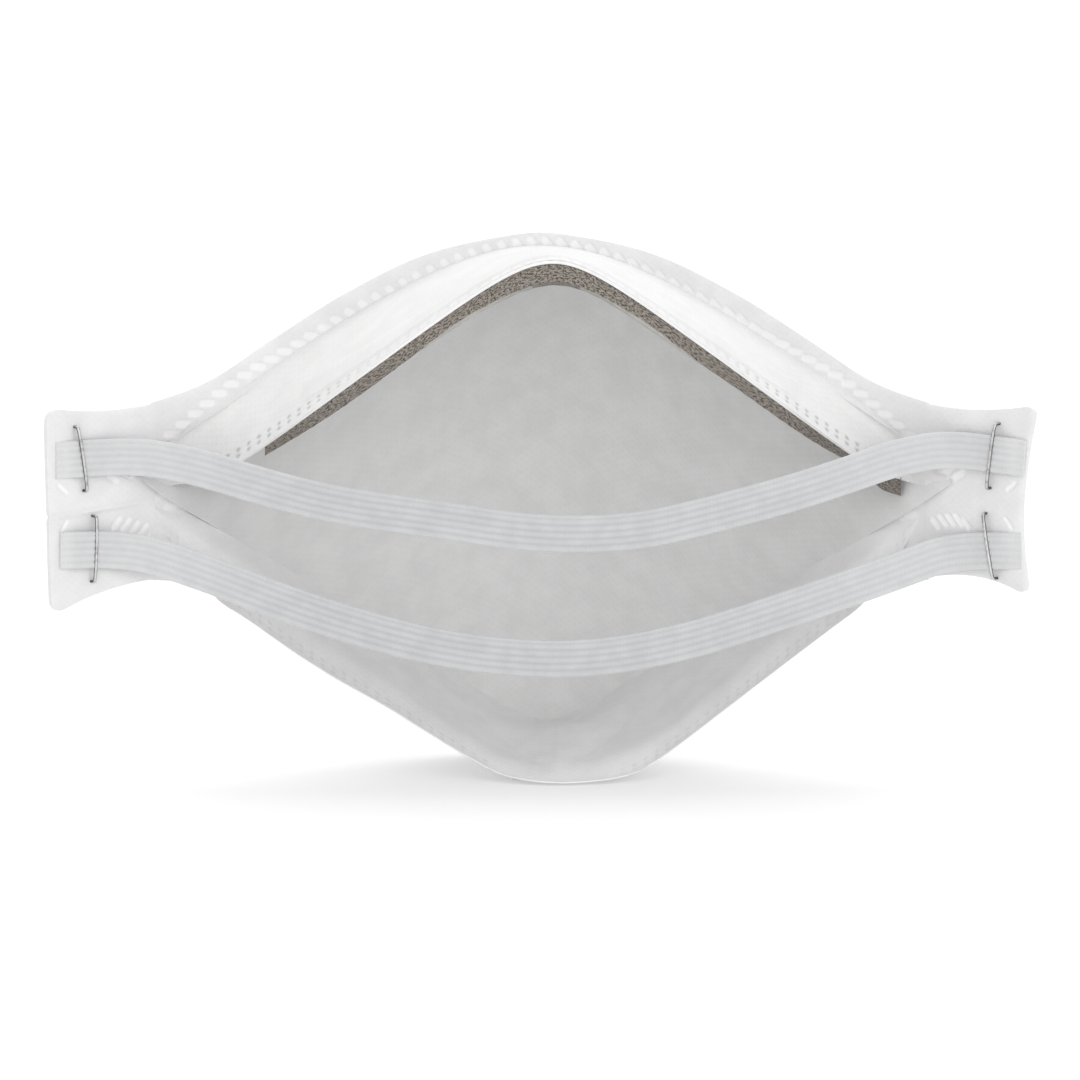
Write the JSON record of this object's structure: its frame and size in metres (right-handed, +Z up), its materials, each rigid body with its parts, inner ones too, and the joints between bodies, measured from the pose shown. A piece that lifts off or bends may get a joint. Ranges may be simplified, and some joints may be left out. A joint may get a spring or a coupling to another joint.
{
  "type": "flat-fold dust mask",
  "caption": "Flat-fold dust mask, opened out on its chin edge: hinged top and chin flaps, nose foam and clip, welded tabs and stapled elastic head straps.",
  "frame": {"origin": "on the floor, at the middle of the box round everything but the head straps", "axes": "+X from the left tab to the right tab, +Y out of the front of the mask, +Z up"},
  "size_m": [0.1857, 0.0624, 0.0989],
  "materials": {
    "outer_cover": "point-bonded nonwoven, matt",
    "inner_cover": "smooth nonwoven, matt",
    "filter_media": "soft melt-blown web",
    "stiff_web": "coarse stiff web",
    "welded_laminate": "heat-welded nonwoven, satin",
    "foam": "open-cell foam",
    "clip_metal": "soft strip",
    "elastic": "ribbed braided elastic",
    "staple_wire": "drawn wire"
  },
  "bodies": {
    "shell": {"centre_panel_outer_web": "outer_cover", "centre_panel_filter": "filter_media", "centre_panel_stiffener": "stiff_web", "centre_panel_inner_web": "inner_cover", "upper_seam": "welded_laminate", "lower_seam": "welded_laminate", "left_tab": "welded_laminate", "right_tab": "welded_laminate", "top_panel_ends": "welded_laminate", "bottom_panel_ends": "welded_laminate", "nose_foam_end": "foam", "upper_strap_ends": "elastic", "lower_strap_ends": "elastic", "staple_upper_left": "staple_wire", "staple_upper_right": "staple_wire", "staple_lower_left": "staple_wire", "staple_lower_right": "staple_wire"},
    "top_flap": {"top_panel_outer_web": "outer_cover", "top_panel_filter": "filter_media", "top_panel_inner_web": "inner_cover", "nose_clip": "clip_metal", "nose_foam": "foam"},
    "bottom_flap": {"bottom_panel_outer_web": "outer_cover", "bottom_panel_filter": "filter_media", "bottom_panel_inner_web": "inner_cover"},
    "chin_tab": {"chin_tab": "welded_laminate"},
    "upper_strap": {"upper_strap": "elastic"},
    "lower_strap": {"lower_strap": "elastic"}
  },
  "joints": [
    {"name": "top_flap_fold", "type": "hinge", "parent": "shell", "child": "top_flap", "pos_m": [0, 0.0186, 0.0948], "axis": [1, 0, 0], "range_deg": [-25, 0]},
    {"name": "bottom_flap_fold", "type": "hinge", "parent": "shell", "child": "bottom_flap", "pos_m": [0, 0.0166, 0.0054], "axis": [1, 0, 0], "range_deg": [0, 25]},
    {"name": "chin_tab_fold", "type": "hinge", "parent": "bottom_flap", "child": "chin_tab", "pos_m": [0, -0.0211, 0.0003], "axis": [1, 0, 0], "range_deg": [-160, 0]},
    {"name": "upper_strap_swing", "type": "hinge", "parent": "shell", "child": "upper_strap", "pos_m": [0, -0.0202, 0.0607], "axis": [1, 0, 0], "range_deg": [-100, 20]},
    {"name": "lower_strap_swing", "type": "hinge", "parent": "shell", "child": "lower_strap", "pos_m": [0, -0.0203, 0.0413], "axis": [1, 0, 0], "range_deg": [-60, 15]}
  ]
}
